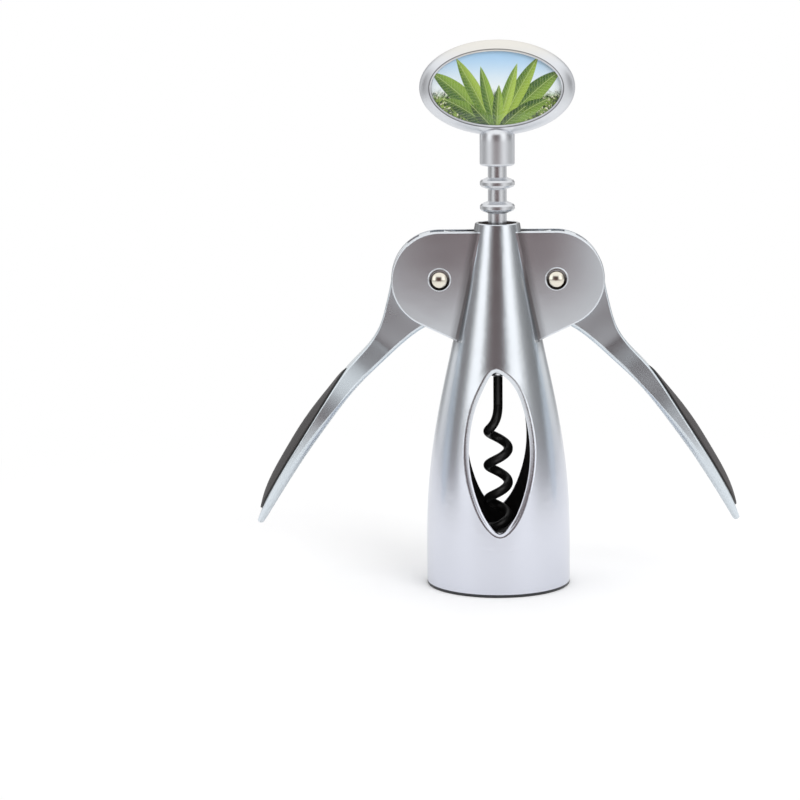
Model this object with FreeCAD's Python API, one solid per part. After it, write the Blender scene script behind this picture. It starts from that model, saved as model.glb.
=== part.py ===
import FreeCAD, Part
import math
import os

from FreeCAD import Vector

# Wing corkscrew with a die-cast bell body, two geared levers and a turning spindle.
# Millimetres. Z is the spindle's axis and points up, X runs towards the right lever,
# -Y is the front. The origin is the centre of the ring that the bell stands on.

# ---------------------------------------------------------------- driving dimensions

# Bell and cone: outer radius at heights above the base
MOUTH_R = 21.0                   # outer radius of the bell at its mouth
BELL_STRAIGHT_Z = 10.0           # top of the bell's straight part
SHOULDER = [(24.4, 20.72), (42.4, 18.9), (56.7, 16.35), (70.8, 13.3), (88.0, 9.75)]
NECK_ABOVE_PIVOT = 16.2          # from the pivots up to the neck's rim
NECK_RIM_WALL = 1.05             # wall left round the bore at the rim
NECK_SLOPE = 0.17                # how fast the neck narrows at its top
BODY_WALL = 2.2                  # wall of the bell and cone
RACK_GUIDE_GAP = 0.4             # round the rings in the bore that guides them
NECK_RIM_FILLET = 0.35

# Window in the front and back of the bell. Its side is given from top to bottom as shares of
# its half width and of its height.
WINDOW_BOTTOM_Z = 18.7
WINDOW_H = 45.7
WINDOW_HALF_W = 8.75
WINDOW_SIDE = [(0.463, 0.919), (0.819, 0.7505), (1.0, 0.5427), (0.925, 0.3304), (0.662, 0.1597),
               (0.322, 0.0438)]
WINDOW_FILLET = 1.15

# Mouth liner
LINER_FLANGE_H = 0.9             # part of the liner that shows below the bell
LINER_TOP_Z = 14.0
LINER_SEAT_WALL = 1.55           # wall of the bell round the liner
LINER_BORE_R = 18.4              # takes the lip of a bottle
LEDGE_Z = 8.5                    # ledge that stops the lip
LEDGE_R = 12.8
LEDGE_EDGE_H = 1.5               # upright edge of the ledge
LINER_TOP_R = 17.6               # mouth of the funnel above the ledge
LINER_GLUE = 0.05
LINER_FILLET = 0.4

# Gear pair: the round rack's rings and the lever's sector
PIVOT_Z = 90.2
RING_PITCH = 6.9
RACK_PITCH_R = 4.05              # pitch line of the rings
GEAR_PITCH_R = 12.85             # pitch radius of the sector
PRESSURE_DEG = 22.0
BACKLASH = 0.125                 # play on each flank
RING_R = 5.05
RACK_CORE_R = 2.72
RING_HALF_PITCH_LINE = 1.25      # half the ring's thickness on the pitch line
GEAR_TIP_GAP = 0.28              # between a tooth's tip and the rack's core
GEAR_ROOT_GAP = 0.25             # between a ring's crest and the tooth gap's floor
GAPS_BELOW = 2                   # tooth gaps below the one in mesh
GAPS_ABOVE = 4                   # tooth gaps above it
TIP_LAP = 0.6                    # how far a tooth gap runs out past the tip circle
FLANK_POINTS = 5                 # points on each involute flank

# Ear plates
EAR_SLOT_HALF = 2.6              # half the slot that the levers turn in
EAR_T = 2.2                      # thickness of a plate
EAR_R = 13.95
EAR_CORNER = (4.8, 17.7)         # lower corner: inwards and down from the pivot
EAR_FILLET = 0.5
SLOT_GAP = 0.35                  # between the sector's tip circle and the body

# Relief flats beside the plates: height above the pivots, inset at the plate, width
RELIEF = [(-17.9, 0.34, 1.55), (-3.2, 0.26, 1.15), (11.3, 0.02, 0.10)]
RELIEF_LAP = 0.02                # how far the cut runs on past the flat's edge
RELIEF_REACH = 4.0               # how far the cut reaches out beside the plate

# Pivot pins and washers
PIN_R = 2.3
PIN_HEAD_R = 2.6
PIN_DOME = 1.15
PIN_HEAD_BELOW = 0.55            # how deep the head's foot sits below the plate's face
PIN_SEAT_GAP = 0.28              # round the head
DISH_R = 3.0
DISH_LIFT = 0.3                  # the cast dish sits a little above the pin's centre
DISH_DEPTH = 0.45
PIN_RUN = 0.05                   # running clearance in the lever's bore
WASHER_T = 0.25
WASHER_R = 4.2
SIDE_PLAY = 0.03                 # between a washer and the lever's hub

# Levers, in the lever's own axes: u runs from the pivot to the tip, v points outwards.
# Stations along a lever are shares of its length.
LEVER_REST_DEG = 38.0            # from straight down to the u axis
LEVER_LENGTH = 89.55             # from the pivot to the tip
# Outer and inner lines (station, v), and half the width added to the hub's (station, width)
OUTER_LINE = [(0.0897, 11.3), (0.1345, 9.2), (0.1715, 7.7), (0.2074, 6.3), (0.25, 5.1),
              (0.3217, 4.7), (0.4126, 5.4), (0.4821, 5.2), (0.583, 4.45), (0.6951, 3.45),
              (0.8072, 2.4), (0.8969, 1.1), (0.9641, -0.35), (1.0202, -1.9)]
INNER_LINE = [(0.1289, -6.3), (0.185, -4.2), (0.2466, -2.9), (0.3363, -1.5), (0.407, -0.45),
              (0.4821, 0.12), (0.583, 0.12), (0.6951, -0.22), (0.8072, -1.0), (0.8969, -1.9),
              (0.9865, -3.0), (1.0202, -3.5)]
FLARE = [(0.2242, 0.0), (0.2915, 0.35), (0.3812, 1.75), (0.5157, 4.1), (0.6502, 5.2),
         (0.7623, 5.35), (0.8744, 4.2), (0.9529, 2.0)]
INNER_FILLET = 1.1
OUTER_FILLET = 0.45

# Grip pads
PAD_START_U = 37.2
PAD_TO_TIP = 3.8                 # from the pad's end to the lever's tip
PAD_RIM = 0.6                    # metal left round the pocket
PAD_POCKET = 0.8                 # depth of the pocket
PAD_GAP = 0.06                   # round the pad in its pocket
PAD_EDGE = 0.5                   # how far the pad's edge stands above the rim
# Middle line of the crowned top: share of the pad's length, height above the arm's outer line
PAD_CROWN = [(-0.025, -0.13), (0.12, 0.85), (0.286, 1.72), (0.452, 2.2), (0.618, 2.12),
             (0.784, 1.94), (0.929, 1.33), (1.033, 0.31)]
CROWN_LEAST = 0.01               # keeps a flat section of the top an arc

# Rack sleeve
RINGS_ABOVE = 4                  # rings above the one level with the pivots
RINGS_BELOW = 3
RACK_PLAIN_TOP = 6.1             # from the top ring's middle to the sleeve's end
RACK_PLAIN_FOOT = 6.1            # from the lowest ring's middle to the sleeve's end
RING_EDGE = 0.4
SPINDLE_R = 1.37                 # the worm's straight shank
SPINDLE_RUN = 0.05
FOOT_H = 1.9                     # ring under the rack
FOOT_R = 2.5
FOOT_FILLET = 1.1
THRUST_WASHER_T = 0.4
AXIAL_PLAY = 0.05

# Worm
HELIX_R = 2.97
HELIX_PITCH = 10.1
TIP_Z = 9.2
TIP_R = 0.16
TIP_H = 6.0                      # height of the tapered point
TIP_POINTS = 7                   # points on the tapered point's path
COIL_H = 29.9                    # height of the full coil, from the taper to the bend
BEND_H = 8.3                     # height of the bend from the coil to the shank
BEND_SHARES = [(0.0, 0.0, 0.0), (0.27, 0.04, 0.24), (0.51, 0.2, 0.53), (0.7, 0.455, 0.63),
               (0.855, 0.77, 0.45), (1.0, 1.0, 0.0)]   # down, to the left and to the front
SHANK_IN_COLLAR = 7.0            # length pressed into the handle's collar

# Handle
HANDLE_TURN_DEG = -5.0           # the handle stands turned a little about the spindle
OVAL_HALF_W = 22.4
OVAL_HALF_H = 13.65
OVAL_FRONT = 4.4                 # middle plane to the rim's front edge
OVAL_BACK = 3.9
RIM_W = 3.1                      # width of the rim at its sides
RIM_H = 2.5                      # width of the rim at its top and bottom
RIM_SLOPE = [(1.0, 1.0), (0.62, 0.815), (0.27, 0.55), (0.06, 0.24), (0.0, 0.0)]
                                 # the rim's front: share of its width, share of its height
BACK_ROLL = 3.6
ROLL_DEGREES = (25, 50, 72, 90)  # sections of the roll to the back
LIP = 0.6                        # flat lip round the picture
LIP_STEP = 0.15                  # how far the lip lies below the rim's edge
PICTURE_RECESS = 1.9
SEAM_Y = 2.1                     # seam line round the back
SEAM_W = 0.3
SEAM_DEPTH = 0.25
SEAM_STOP = 1.0                  # how far from the collar the seam stops
COLLAR_LAP = 1.0                 # how far the collar reaches down over the rack's top
COLLAR_H = 11.6                  # from the collar's foot to the top of its dome
COLLAR_FILLET = 0.8
DOME_FILLET = 2.9                # rounds the collar's top
DOME_IN_RIM = 2.9                # how far the dome's top stands inside the oval
COUNTERBORE_GAP = 0.38           # round the rack's core in the collar

# Picture disc and its clear dome
DISC_T = 0.45
INSET_GAP = 0.05
CLEAR_EDGE_H = 0.75
CLEAR_CROWN_H = 1.75
CLEAR_SPREAD = 1.12              # ellipsoid's outline over the dome's outline

# ---------------------------------------------------------------- worked-out values

PIVOT_X = RACK_PITCH_R + GEAR_PITCH_R
NECK_TOP_Z = PIVOT_Z + NECK_ABOVE_PIVOT
NECK_BORE_R = RING_R + RACK_GUIDE_GAP
NECK_TOP_R = NECK_BORE_R + NECK_RIM_WALL
WINDOW_TOP_Z = WINDOW_BOTTOM_Z + WINDOW_H
EAR_HALF = EAR_SLOT_HALF + EAR_T
PAD_END_U = LEVER_LENGTH - PAD_TO_TIP
RACK_TOP_Z = PIVOT_Z + RINGS_ABOVE * RING_PITCH + RACK_PLAIN_TOP
RACK_BOTTOM_Z = PIVOT_Z - RINGS_BELOW * RING_PITCH - RACK_PLAIN_FOOT
TIP_TOP_Z = TIP_Z + TIP_H
HELIX_TOP_Z = TIP_TOP_Z + COIL_H
BEND_TOP_Z = HELIX_TOP_Z + BEND_H
COLLAR_BOTTOM_Z = RACK_TOP_Z - COLLAR_LAP
DOME_TOP_Z = COLLAR_BOTTOM_Z + COLLAR_H
OVAL_Z = DOME_TOP_Z - DOME_IN_RIM + OVAL_HALF_H
COUNTERBORE_R = RACK_CORE_R + COUNTERBORE_GAP
GEAR_TIP_R = PIVOT_X - RACK_CORE_R - GEAR_TIP_GAP
GEAR_ROOT_R = PIVOT_X - RING_R - GEAR_ROOT_GAP
HUB_HALF = EAR_SLOT_HALF - WASHER_T - SIDE_PLAY
PRESSURE = math.radians(PRESSURE_DEG)
FAR = 60.0                       # longer than any cut needs
TOUCH = 1e-4                     # what counts as the same place

os.makedirs("parts", exist_ok=True)


def save(node, shape):
    shape.exportStep("parts/" + node + ".step")


def spline(points, start=None, end=None):
    """A smooth curve through the points, with tangents at its ends where they are given."""
    curve = Part.BSplineCurve()
    if start and end:
        curve.interpolate(Points=points, InitialTangent=start, FinalTangent=end)
    else:
        curve.interpolate(Points=points)
    return curve.toShape()


def line(a, b):
    return Part.LineSegment(a, b).toShape()


def chain(points):
    return [line(a, b) for a, b in zip(points, points[1:])]


def face(edges):
    return Part.Face(Part.Wire(Part.__sortEdges__(edges)))


def revolve(edges):
    """Turn a half-section in the XZ plane about the Z axis."""
    return face(edges).revolve(Vector(0, 0, 0), Vector(0, 0, 1), 360)


def mirrored(shape):
    return shape.mirror(Vector(0, 0, 0), Vector(1, 0, 0))


def cylinder_y(radius, y0, y1, x, z):
    return Part.makeCylinder(radius, y1 - y0, Vector(x, y0, z), Vector(0, 1, 0))


# ---------------------------------------------------------------- bell body

def bell_line(offset):
    """The bell's outer line from its straight part to the neck's top, moved in by offset."""
    points = [Vector(MOUTH_R - offset, 0, BELL_STRAIGHT_Z)]
    points += [Vector(r - offset, 0, z) for z, r in SHOULDER]
    points.append(Vector(NECK_TOP_R - offset, 0, NECK_TOP_Z))
    return points


def bell_edge(offset):
    return spline(bell_line(offset), Vector(0, 0, 1), Vector(-NECK_SLOPE, 0, 1))


def bell_radius(z):
    """Outer radius of the cone at a height on the spline."""
    level = line(Vector(0, 0, z), Vector(2 * MOUTH_R, 0, z))
    return bell_edge(0).distToShape(level)[1][0][0].x


def bell_outside():
    bottom, top = LINER_FLANGE_H, NECK_TOP_Z
    edges = [bell_edge(0)]
    edges += chain([Vector(NECK_TOP_R, 0, top), Vector(0, 0, top), Vector(0, 0, bottom),
                    Vector(MOUTH_R, 0, bottom), Vector(MOUTH_R, 0, BELL_STRAIGHT_Z)])
    return revolve(edges)


def bell_inside():
    bottom = LINER_FLANGE_H
    seat_r = MOUTH_R - LINER_SEAT_WALL
    wall_r = MOUTH_R - BODY_WALL
    edges = [bell_edge(BODY_WALL)]
    top_r = NECK_TOP_R - BODY_WALL
    edges += chain([Vector(top_r, 0, NECK_TOP_Z), Vector(0, 0, NECK_TOP_Z), Vector(0, 0, bottom),
                    Vector(wall_r, 0, bottom), Vector(wall_r, 0, BELL_STRAIGHT_Z)])
    cavity = revolve(edges)
    seat = Part.makeCylinder(seat_r, LINER_TOP_Z - bottom, Vector(0, 0, bottom))
    bore = Part.makeCylinder(NECK_BORE_R, FAR, Vector(0, 0, NECK_TOP_Z - FAR / 2))
    return cavity.fuse([seat, bore])


def ear_plate(side):
    """Left plate of the front (side -1) or back (side 1) pair."""
    x, z = -PIVOT_X, PIVOT_Z
    cx, cz = x + EAR_CORNER[0], z - EAR_CORNER[1]
    reach = math.hypot(cx - x, cz - z)
    to_corner = math.atan2(cz - z, cx - x)
    tangent = to_corner - math.acos(EAR_R / reach)
    t = Vector(x + EAR_R * math.cos(tangent), 0, z + EAR_R * math.sin(tangent))
    corner = Vector(cx, 0, cz)
    inside = corner + (corner - t).normalize() * 2 * BODY_WALL
    top_r = Vector(x, 0, z + EAR_R)
    middle = Vector(x - EAR_R, 0, z)
    edges = [Part.Arc(top_r, middle, t).toShape(), line(t, inside)]
    edges += chain([inside, Vector(0, 0, inside.z), Vector(0, 0, z + EAR_R), top_r])
    plate = face(edges)
    plate.translate(Vector(0, side * EAR_SLOT_HALF, 0))
    plate = plate.extrude(Vector(0, side * EAR_T, 0))
    rim = []
    for edge in plate.Edges:
        box = edge.BoundBox
        on_face = max(abs(box.YMin - side * EAR_HALF), abs(box.YMax - side * EAR_HALF)) < TOUCH
        shows = box.XMin < -NECK_BORE_R
        if on_face and shows:
            rim.append(edge)
    return plate.makeFillet(EAR_FILLET, rim)


def window_cutter():
    half = [Vector(x * WINDOW_HALF_W, 0, WINDOW_BOTTOM_Z + z * WINDOW_H) for x, z in WINDOW_SIDE]
    other = [Vector(-p.x, 0, p.z) for p in reversed(half)]
    points = [Vector(0, 0, WINDOW_TOP_Z)] + half + [Vector(0, 0, WINDOW_BOTTOM_Z)] + other
    curve = Part.BSplineCurve()
    curve.interpolate(Points=points, PeriodicFlag=True)
    outline = Part.Face(Part.Wire(curve.toShape()))
    outline.translate(Vector(0, -FAR / 2, 0))
    return outline.extrude(Vector(0, FAR, 0))


def relief_cutter():
    """The relief flat beside the front left plate, as a ruled solid in front of the plate."""
    sections = []
    for above, inset, width in RELIEF:
        z = PIVOT_Z + above
        radius = bell_radius(z)
        at_plate = math.sqrt(radius ** 2 - EAR_HALF ** 2)
        end = at_plate - width
        a = Vector(-at_plate + inset, -EAR_HALF, z)
        b = Vector(-end, -math.sqrt(radius ** 2 - end ** 2), z)
        along = (b - a).normalize()
        c = b + along * RELIEF_REACH / 2 + Vector(-RELIEF_REACH, 0, 0)
        d = a + Vector(-RELIEF_REACH, 0, 0)
        sections.append(Part.makePolygon([a, b + along * RELIEF_LAP, c, d, a]))
    return Part.makeLoft(sections, True, True)


def four_ways(shape):
    """The shape with its mirror images on the other side and at the back."""
    front = [shape, mirrored(shape)]
    back = [s.mirror(Vector(0, 0, 0), Vector(0, 1, 0)) for s in front]
    return front + back


def make_body():
    plates = []
    for side in (-1, 1):
        left = ear_plate(side)
        plates += [left, mirrored(left)]
    body = bell_outside().fuse(plates)
    slots = []
    holes = []
    for x in (-PIVOT_X, PIVOT_X):
        slots.append(cylinder_y(GEAR_TIP_R + SLOT_GAP, -EAR_SLOT_HALF, EAR_SLOT_HALF, x, PIVOT_Z))
        holes.append(cylinder_y(PIN_R, -FAR / 2, FAR / 2, x, PIVOT_Z))
        for side in (-1, 1):
            holes += pin_seat(x, side)
    body = body.cut([bell_inside()] + slots + holes + [window_cutter()])
    body = body.cut(four_ways(relief_cutter()))
    return round_body(body)


def pin_seat(x, side):
    """Seat for a pin's head and the shallow dish round it, in one plate's outer face."""
    deep = EAR_HALF - PIN_HEAD_BELOW
    axis = Vector(0, side, 0)
    seat = Part.makeCylinder(PIN_HEAD_R + PIN_SEAT_GAP, EAR_T, Vector(x, side * deep, PIVOT_Z), axis)
    foot = Vector(x, side * (EAR_HALF - DISH_DEPTH), PIVOT_Z + DISH_LIFT)
    dish = Part.makeCone(PIN_HEAD_R, DISH_R, DISH_DEPTH, foot, axis)
    return [seat, dish]


def round_body(body):
    """Round the window's outer edges and the neck's rim."""
    edges = []
    for edge in body.Edges:
        box = edge.BoundBox
        corner = edge.Vertexes[0]
        low = box.ZMin > WINDOW_BOTTOM_Z - WINDOW_FILLET
        high = box.ZMax < WINDOW_TOP_Z + WINDOW_FILLET
        away = abs(box.YMin + box.YMax) / 2 > NECK_BORE_R
        upright = box.ZMax - box.ZMin > WINDOW_FILLET
        if low and high and away and upright:
            if math.hypot(corner.X, corner.Y) > bell_radius(corner.Z) - BODY_WALL / 2:
                edges.append(edge)
    body = body.makeFillet(WINDOW_FILLET, edges)
    rim = [e for e in body.Edges if abs(e.BoundBox.ZMin - NECK_TOP_Z) < TOUCH]
    return body.makeFillet(NECK_RIM_FILLET, rim)


# ---------------------------------------------------------------- mouth liner

def make_liner():
    seat_r = MOUTH_R - LINER_SEAT_WALL - LINER_GLUE
    points = [
        Vector(LINER_BORE_R, 0, 0),
        Vector(MOUTH_R, 0, 0),
        Vector(MOUTH_R, 0, LINER_FLANGE_H),
        Vector(seat_r, 0, LINER_FLANGE_H),
        Vector(seat_r, 0, LINER_TOP_Z),
        Vector(LINER_TOP_R, 0, LINER_TOP_Z),
        Vector(LEDGE_R, 0, LEDGE_Z + LEDGE_EDGE_H),
        Vector(LEDGE_R, 0, LEDGE_Z),
        Vector(LINER_BORE_R, 0, LEDGE_Z),
    ]
    liner = revolve(chain(points + points[:1]))
    foot = [e for e in liner.Edges if e.BoundBox.ZMax < TOUCH]
    return liner.makeFillet(LINER_FILLET, foot)


# ---------------------------------------------------------------- pins and washers

def make_pin(x):
    deep = EAR_HALF - PIN_HEAD_BELOW
    pin = cylinder_y(PIN_R, -deep, deep, x, PIVOT_Z)
    sphere_r = (PIN_HEAD_R ** 2 + PIN_DOME ** 2) / (2 * PIN_DOME)
    heads = []
    for side in (-1, 1):
        centre = Vector(x, side * (deep + PIN_DOME - sphere_r), PIVOT_Z)
        ball = Part.makeSphere(sphere_r, centre)
        stub = Part.makeCylinder(PIN_HEAD_R, 2 * PIN_DOME, Vector(x, side * deep, PIVOT_Z),
                                 Vector(0, side, 0))
        heads.append(ball.common(stub))
    return pin.fuse(heads)


def make_washer(x, side):
    y0, y1 = sorted([side * EAR_SLOT_HALF, side * (EAR_SLOT_HALF - WASHER_T)])
    ring = cylinder_y(WASHER_R, y0, y1, x, PIVOT_Z)
    return ring.cut(cylinder_y(PIN_R + PIN_RUN, -FAR / 2, FAR / 2, x, PIVOT_Z))


# ---------------------------------------------------------------- levers

def lever_point(u, v, y=0.0):
    """World place of a point given in the left lever's own axes."""
    a = math.radians(LEVER_REST_DEG)
    x = -PIVOT_X - u * math.sin(a) - v * math.cos(a)
    z = PIVOT_Z - u * math.cos(a) + v * math.sin(a)
    return Vector(x, y, z)


def line_points(pairs, lift=0.0):
    """World places of a line given by stations along the lever, lifted by a height."""
    return [lever_point(share * LEVER_LENGTH, v + lift) for share, v in pairs]


def involute(angle):
    return math.tan(angle) - angle


def gap_half_angle(radius):
    """Half the angle of a tooth gap of the sector at a radius."""
    base_r = GEAR_PITCH_R * math.cos(PRESSURE)
    at_pitch = (RING_HALF_PITCH_LINE + BACKLASH) / GEAR_PITCH_R
    roll = math.acos(min(1.0, base_r / radius))
    return at_pitch + involute(roll) - involute(PRESSURE)


def tooth_gap(direction):
    """One tooth gap of the left sector; direction is the angle from the rack's side."""
    base_r = GEAR_PITCH_R * math.cos(PRESSURE)
    step = (GEAR_TIP_R + TIP_LAP - base_r) / (FLANK_POINTS - 1)
    radii = [base_r + step * k for k in range(FLANK_POINTS)]

    def at(radius, angle):
        return Vector(-PIVOT_X + radius * math.cos(angle), 0, PIVOT_Z + radius * math.sin(angle))

    lower = [at(r, direction - gap_half_angle(r)) for r in radii]
    upper = [at(r, direction + gap_half_angle(r)) for r in radii]
    floor = gap_half_angle(base_r)
    root_low = at(GEAR_ROOT_R, direction - floor)
    root_high = at(GEAR_ROOT_R, direction + floor)
    root_mid = at(GEAR_ROOT_R, direction)
    edges = [spline(lower), spline(upper), line(lower[-1], upper[-1]),
             line(root_low, lower[0]), line(root_high, upper[0]),
             Part.Arc(root_low, root_mid, root_high).toShape()]
    gap = face(edges)
    gap.translate(Vector(0, -FAR / 2, 0))
    return gap.extrude(Vector(0, FAR, 0))


def along_u():
    return lever_point(1, 0) - lever_point(0, 0)


def through(profile):
    """Extrude a closed profile in the XZ plane right through, along Y."""
    profile.translate(Vector(0, -FAR / 2, 0))
    return profile.extrude(Vector(0, FAR, 0))


def outward(profile):
    """Extrude a closed profile that lies square to v, from well inside to well outside."""
    profile.translate(lever_point(0, -FAR / 2) - lever_point(0, 0))
    return profile.extrude(lever_point(0, FAR) - lever_point(0, 0))


def arm_from_side():
    """Everything between the arm's outer and inner lines, from inside the hub past the nose."""
    outer = line_points(OUTER_LINE)
    inner = line_points(INNER_LINE)
    edges = [spline(outer), spline(inner), line(outer[-1], inner[-1])]
    edges += chain([inner[0], lever_point(0, 0), outer[0]])
    return through(face(edges))


def arm_from_top():
    """Everything within the arm's half widths, with one smooth line round the nose."""
    plan = [(share * LEVER_LENGTH, half + HUB_HALF) for share, half in FLARE]
    near = [lever_point(u, 0, half) for u, half in plan]
    far = [lever_point(u, 0, -half) for u, half in reversed(plan)]
    nose = lever_point(LEVER_LENGTH, 0)
    curve = spline(near + [nose] + far, along_u(), along_u() * -1)
    start, end = near[0], far[-1]
    back = along_u() * -(plan[0][0] + EAR_R)
    return outward(face([curve] + chain([start, start + back, end + back, end])))


def long_edges(arm, side):
    """The arm's curved edges along its outer (side 1) or inner (side -1) face."""
    across = lever_point(0, 1) - lever_point(0, 0)
    edges = []
    for edge in arm.Edges:
        v = (edge.Vertexes[0].Point - lever_point(0, 0)).dot(across)
        if isinstance(edge.Curve, Part.BSplineCurve) and v * side > 0:
            edges.append(edge)
    return edges


def make_arm():
    arm = arm_from_side().common(arm_from_top())
    arm = arm.makeFillet(INNER_FILLET, long_edges(arm, -1))
    return arm.makeFillet(OUTER_FILLET, long_edges(arm, 1))


def make_lever():
    hub = cylinder_y(GEAR_TIP_R, -HUB_HALF, HUB_HALF, -PIVOT_X, PIVOT_Z)
    lever = hub.fuse(make_arm()).removeSplitter()
    step = RING_PITCH / GEAR_PITCH_R
    gaps = [tooth_gap(k * step) for k in range(-GAPS_BELOW, GAPS_ABOVE + 1)]
    bore = cylinder_y(PIN_R + PIN_RUN, -FAR / 2, FAR / 2, -PIVOT_X, PIVOT_Z)
    return lever.cut(gaps + [bore, pad_space(0.0)])


def between(stations, u):
    """Value at u between stations that are shares of the lever's length."""
    share = u / LEVER_LENGTH
    for (s0, v0), (s1, v1) in zip(stations, stations[1:]):
        if s0 <= share <= s1:
            return v0 + (v1 - v0) * (share - s0) / (s1 - s0)
    return stations[-1][1]


def half_width(u):
    """Half width of the arm at u, which narrows to nothing at the tip."""
    return HUB_HALF + between(FLARE + [(1.0, -HUB_HALF)], u)


def pad_space(gap):
    """The pad's plan, reaching outwards from its floor in the lever."""
    inside = [share * LEVER_LENGTH for share, _ in FLARE]
    inside = [u for u in inside if PAD_START_U + PAD_RIM < u < PAD_END_U - PAD_RIM]
    near = [lever_point(u, 0, half_width(u) - PAD_RIM - gap) for u in inside]
    far = [lever_point(u, 0, -half_width(u) + PAD_RIM + gap) for u in reversed(inside)]
    start = lever_point(PAD_START_U + gap, 0)
    end = lever_point(PAD_END_U - gap, 0)
    plan = outward(face([spline([start] + near + [end]), spline([end] + far + [start])]))
    floor = line_points(OUTER_LINE, -PAD_POCKET)
    top = line_points(OUTER_LINE, FAR / 4)
    ends = [line(floor[0], top[0]), line(floor[-1], top[-1])]
    return plan.common(through(face([spline(floor), spline(top)] + ends)))


def make_pad():
    """The pad fills its pocket and is crowned along and across its top."""
    sections = []
    for share, lift in PAD_CROWN:
        u = PAD_START_U + share * (PAD_END_U - PAD_START_U)
        half = max(half_width(u), HUB_HALF)
        surface = between(OUTER_LINE, u)
        crown = surface + lift
        edge = surface + min(PAD_EDGE, lift)
        near, far = lever_point(u, edge, -half), lever_point(u, edge, half)
        below = [far, lever_point(u, -FAR / 4, half), lever_point(u, -FAR / 4, -half), near]
        arc = Part.Arc(near, lever_point(u, crown + CROWN_LEAST), far).toShape()
        sections.append(Part.Wire([arc] + chain(below)))
    crowned = Part.makeLoft(sections, True, False)
    return crowned.common(pad_space(PAD_GAP))


# ---------------------------------------------------------------- rack, foot ring and washer

def ring_half(radius):
    """Half the thickness of a ring at a radius: its flanks lean by the pressure angle."""
    return RING_HALF_PITCH_LINE + (RACK_PITCH_R - radius) * math.tan(PRESSURE)


def make_rack():
    bore_r = SPINDLE_R + SPINDLE_RUN
    points = [Vector(bore_r, 0, RACK_BOTTOM_Z), Vector(RACK_CORE_R, 0, RACK_BOTTOM_Z)]
    for k in range(-RINGS_BELOW, RINGS_ABOVE + 1):
        z = PIVOT_Z + k * RING_PITCH
        root, edge_r = ring_half(RACK_CORE_R), RING_R - RING_EDGE
        points.append(Vector(RACK_CORE_R, 0, z - root))
        points.append(Vector(edge_r, 0, z - ring_half(edge_r)))
        points.append(Vector(RING_R, 0, z - ring_half(RING_R) + RING_EDGE))
        points.append(Vector(RING_R, 0, z + ring_half(RING_R) - RING_EDGE))
        points.append(Vector(edge_r, 0, z + ring_half(edge_r)))
        points.append(Vector(RACK_CORE_R, 0, z + root))
    points += [Vector(RACK_CORE_R, 0, RACK_TOP_Z), Vector(bore_r, 0, RACK_TOP_Z)]
    return revolve(chain(points + points[:1]))


def ring_solid(inner_r, outer_r, z0, z1):
    ring = Part.makeCylinder(outer_r, z1 - z0, Vector(0, 0, z0))
    return ring.cut(Part.makeCylinder(inner_r, z1 - z0, Vector(0, 0, z0)))


def make_foot_ring():
    top = RACK_BOTTOM_Z - AXIAL_PLAY
    ring = ring_solid(SPINDLE_R, FOOT_R, top - FOOT_H, top)
    lower = [e for e in ring.Edges if e.BoundBox.ZMax < top - FOOT_H + TOUCH]
    outer = [e for e in lower if e.BoundBox.XMax > FOOT_R - TOUCH]
    return ring.makeFillet(FOOT_FILLET, outer)


def make_thrust_washer():
    z0 = RACK_TOP_Z + AXIAL_PLAY
    return ring_solid(SPINDLE_R, COUNTERBORE_R - AXIAL_PLAY, z0, z0 + THRUST_WASHER_T)


# ---------------------------------------------------------------- worm

def helix_point(z):
    """Centre of the wire on the right-handed helix at a height."""
    angle = math.pi + 2 * math.pi * (z - HELIX_TOP_Z) / HELIX_PITCH
    return Vector(HELIX_R * math.cos(angle), HELIX_R * math.sin(angle), z)


def helix_down(z):
    """Direction in which the wire runs down the helix at a height."""
    step = 1e-4
    return (helix_point(z) - helix_point(z + step)).normalize()


def bend_point(down, left, front):
    """Centre of the wire in the bend, at shares of the bend's height and the helix's radius."""
    z = BEND_TOP_Z + down * (HELIX_TOP_Z - BEND_TOP_Z)
    return Vector(-left * HELIX_R, -front * HELIX_R, z)


def circle_at(centre, normal, radius):
    return Part.Wire(Part.makeCircle(radius, centre, normal))


def sweep(path, circles, frenet):
    return Part.Wire(path).makePipeShell(circles, True, frenet)


def make_coil():
    helix = Part.makeHelix(HELIX_PITCH, HELIX_TOP_Z - TIP_TOP_Z, HELIX_R)
    start = helix_point(TIP_TOP_Z)
    helix.rotate(Vector(0, 0, 0), Vector(0, 0, 1), math.degrees(math.atan2(start.y, start.x)))
    helix.translate(Vector(0, 0, TIP_TOP_Z))
    return sweep(helix.Edges, [circle_at(start, helix_down(TIP_TOP_Z), SPINDLE_R)], True)


def make_worm():
    top = COLLAR_BOTTOM_Z + SHANK_IN_COLLAR
    shank = Part.makeCylinder(SPINDLE_R, top - BEND_TOP_Z, Vector(0, 0, BEND_TOP_Z))
    down = Vector(0, 0, -1)
    bend_points = [bend_point(*shares) for shares in BEND_SHARES]
    bend_path = spline(bend_points, down, helix_down(HELIX_TOP_Z))
    bend = sweep(bend_path, [circle_at(bend_points[0], down, SPINDLE_R)], False)
    step = TIP_H / (TIP_POINTS - 1)
    tip_points = [helix_point(TIP_TOP_Z - step * k) for k in range(TIP_POINTS)]
    start, end = helix_down(TIP_TOP_Z), helix_down(TIP_Z)
    circles = [circle_at(tip_points[0], start, SPINDLE_R), circle_at(tip_points[-1], end, TIP_R)]
    tip = sweep(spline(tip_points, start, end), circles, False)
    return shank.fuse([bend, make_coil(), tip])


# ---------------------------------------------------------------- handle

def oval(side_inset, top_inset, y):
    """The handle's outline moved in from its sides and from its top, at a depth y."""
    ellipse = Part.Ellipse(Vector(0, y, OVAL_Z), OVAL_HALF_W - side_inset, OVAL_HALF_H - top_inset)
    shape = ellipse.toShape()
    shape.rotate(Vector(0, y, OVAL_Z), Vector(1, 0, 0), 90)
    return Part.Wire(shape)


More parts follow.
